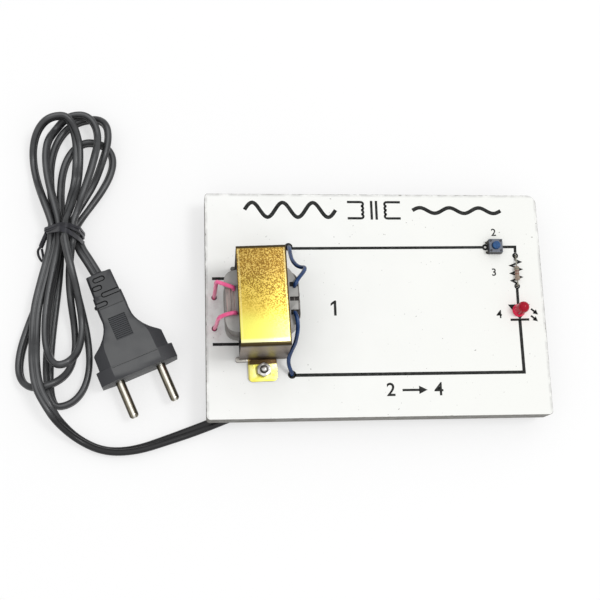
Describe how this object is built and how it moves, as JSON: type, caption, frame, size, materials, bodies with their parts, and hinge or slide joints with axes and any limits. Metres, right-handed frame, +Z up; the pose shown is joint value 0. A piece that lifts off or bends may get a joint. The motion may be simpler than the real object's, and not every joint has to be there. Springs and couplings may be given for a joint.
{
  "type": "step-down transformer demonstration board",
  "caption": "Printed board on rubber feet with a framed step-down transformer, push switch, resistor and red lamp wired to a printed circuit, and a flat mains cord in a tied hank with plug.",
  "frame": {"origin": "on the floor under the centre of the board", "axes": "+X along the board's long side, towards the switch and the lamp; +Y towards its back edge, where the circuit's top line runs; +Z up"},
  "size_m": [0.2341, 0.1604, 0.049],
  "materials": {
    "board": "faced board with a raw grey edge",
    "print_sheet": "white laminated print",
    "foot_rubber": "matte black",
    "yellow_zinc": "yellow chromate zinc plate",
    "core_steel": "varnished lamination edges",
    "bobbin_plastic": "moulded grey nylon",
    "copper": "enamelled copper",
    "coil_tape": "film tape",
    "pink_wire": "soft sleeve",
    "blue_wire": "soft sleeve",
    "bright_steel": "bright zinc plate",
    "black_plastic": "moulded",
    "cover_steel": "thin pressed plate",
    "button_plastic": "moulded blue",
    "spring_steel": "polished spring dome",
    "tinned_wire": "tinned",
    "resistor_lacquer": "lacquered, banded",
    "red_lens": "translucent red epoxy",
    "solder": "bright solder",
    "sleeve_plastic": "heat-shrunk tube",
    "core_insulation": "extruded core insulation",
    "cord_black": "matte flexible sheath",
    "tie_black": "wire tie",
    "plug_black": "moulded, satin",
    "carrier_plastic": "hard insert",
    "pin_nickel": "nickel plate"
  },
  "bodies": {
    "board": {"base_board": "board", "printed_sheet": "print_sheet", "board_feet": "foot_rubber", "transformer_frame": "yellow_zinc", "core_e_laminations": "core_steel", "core_i_laminations": "core_steel", "bobbin": "bobbin_plastic", "primary_winding": "copper", "interlayer_tape": "coil_tape", "secondary_winding": "copper", "outer_tape": "coil_tape", "primary_lead_a": "pink_wire", "primary_lead_b": "pink_wire", "secondary_lead_a": "blue_wire", "secondary_lead_b": "blue_wire", "mounting_bolts": "bright_steel", "mounting_nuts": "bright_steel", "mounting_washers": "bright_steel", "switch_base": "black_plastic", "switch_cover": "cover_steel", "switch_dome": "spring_steel", "switch_legs": "tinned_wire", "resistor_body": "resistor_lacquer", "resistor_leads": "tinned_wire", "led_lens": "red_lens", "led_leads": "tinned_wire", "solder_joints": "solder", "splice_sleeves": "sleeve_plastic", "cord_clip": "bright_steel", "cord_clip_screw": "bright_steel", "cord_tail": "cord_black", "cord_cores": "core_insulation", "cord_lead": "cord_black", "cord_hank": "cord_black", "plug_cord": "cord_black", "cord_tie": "tie_black", "plug_body": "plug_black", "plug_pin_carrier": "carrier_plastic", "plug_pins": "pin_nickel"},
    "button": {"switch_button": "button_plastic"}
  },
  "joints": [
    {"name": "button_press", "type": "slide", "parent": "board", "child": "button", "axis": [0, 0, -1], "range_m": [0, 0.00025], "stiffness_N_per_m": 4000, "deforming": ["switch_dome"]}
  ]
}
